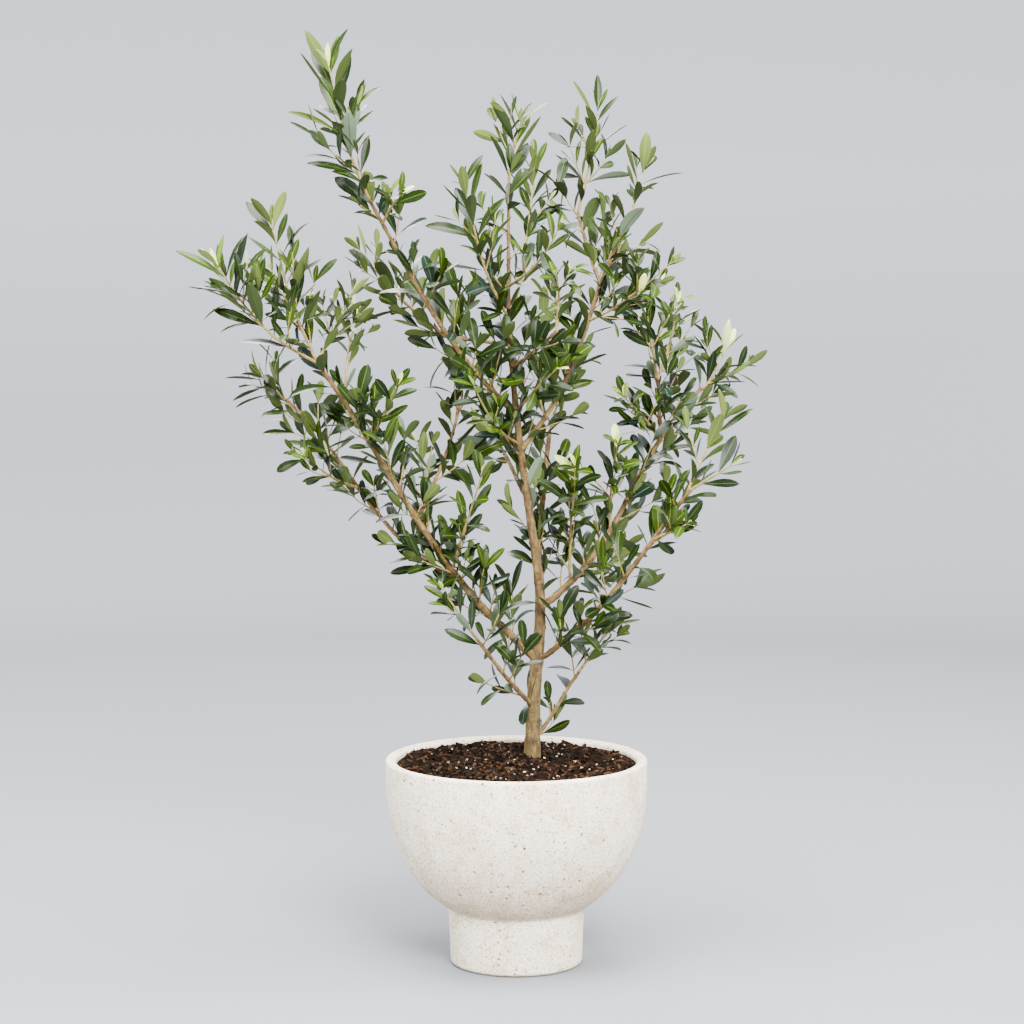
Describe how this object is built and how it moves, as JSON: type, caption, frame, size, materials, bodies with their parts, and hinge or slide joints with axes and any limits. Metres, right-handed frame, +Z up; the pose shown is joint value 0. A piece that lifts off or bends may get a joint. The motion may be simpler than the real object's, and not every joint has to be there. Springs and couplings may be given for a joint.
{
  "type": "potted olive tree",
  "caption": "Young olive tree with an open, upswept crown of narrow leaves, standing in soil in a round footed bowl of speckled cast stone.",
  "frame": {"origin": "middle of the flat underside of the pot's foot, on the axis of the bowl", "axes": "+Z up along the pot's axis, -Y towards the front of the tree, +X to the right of a viewer at the front"},
  "size_m": [0.6388, 0.3849, 1.0589],
  "materials": {
    "cast_stone": "matte",
    "soil": "matte",
    "bark": "matte",
    "leaf": "satin"
  },
  "bodies": {
    "root": {"pot": "cast_stone", "soil": "soil", "trunk": "bark", "bough-left": "bark", "bough-left-outer": "bark", "bough-left-low": "bark", "bough-right-low": "bark", "bough-right-lower": "bark", "bough-right-upper": "bark", "bough-mid-right": "bark", "bough-mid-left": "bark", "bough-left-inner": "bark", "bough-right-upright": "bark", "bough-right-inner": "bark", "bough-front": "bark", "bough-leader": "bark", "bough-left-upright": "bark", "bough-back": "bark", "bough-back-left": "bark", "foliage-left-tip": "leaf", "foliage-left-far": "leaf", "foliage-left-fork": "leaf", "foliage-left-upright": "leaf", "foliage-left-front": "leaf", "foliage-left-behind": "leaf", "foliage-outer-tip": "leaf", "foliage-outer-side": "leaf", "foliage-left-low": "leaf", "foliage-right-low": "leaf", "foliage-lower-tip": "leaf", "foliage-lower-up": "leaf", "foliage-lower-side": "leaf", "foliage-upper-tip": "leaf", "foliage-upright-left": "leaf", "foliage-upright-right": "leaf", "foliage-upper-inner": "leaf", "foliage-upper-front": "leaf", "foliage-fork-front": "leaf", "foliage-upper-behind": "leaf", "foliage-mid-right-tip": "leaf", "foliage-right-inner": "leaf", "foliage-mid-right-low": "leaf", "foliage-mid-right-side": "leaf", "foliage-front": "leaf", "foliage-trunk-right": "leaf", "foliage-leader-left": "leaf", "foliage-leader-tip": "leaf", "foliage-leader-right": "leaf", "foliage-leader-side": "leaf", "foliage-top": "leaf", "foliage-top-side": "leaf", "foliage-left-inner": "leaf", "foliage-mid-left-low": "leaf", "foliage-trunk-left": "leaf", "foliage-inner-upright": "leaf", "foliage-inner-low": "leaf", "foliage-back-tip": "leaf", "foliage-back-left": "leaf", "foliage-back-high": "leaf"}
  },
  "joints": []
}
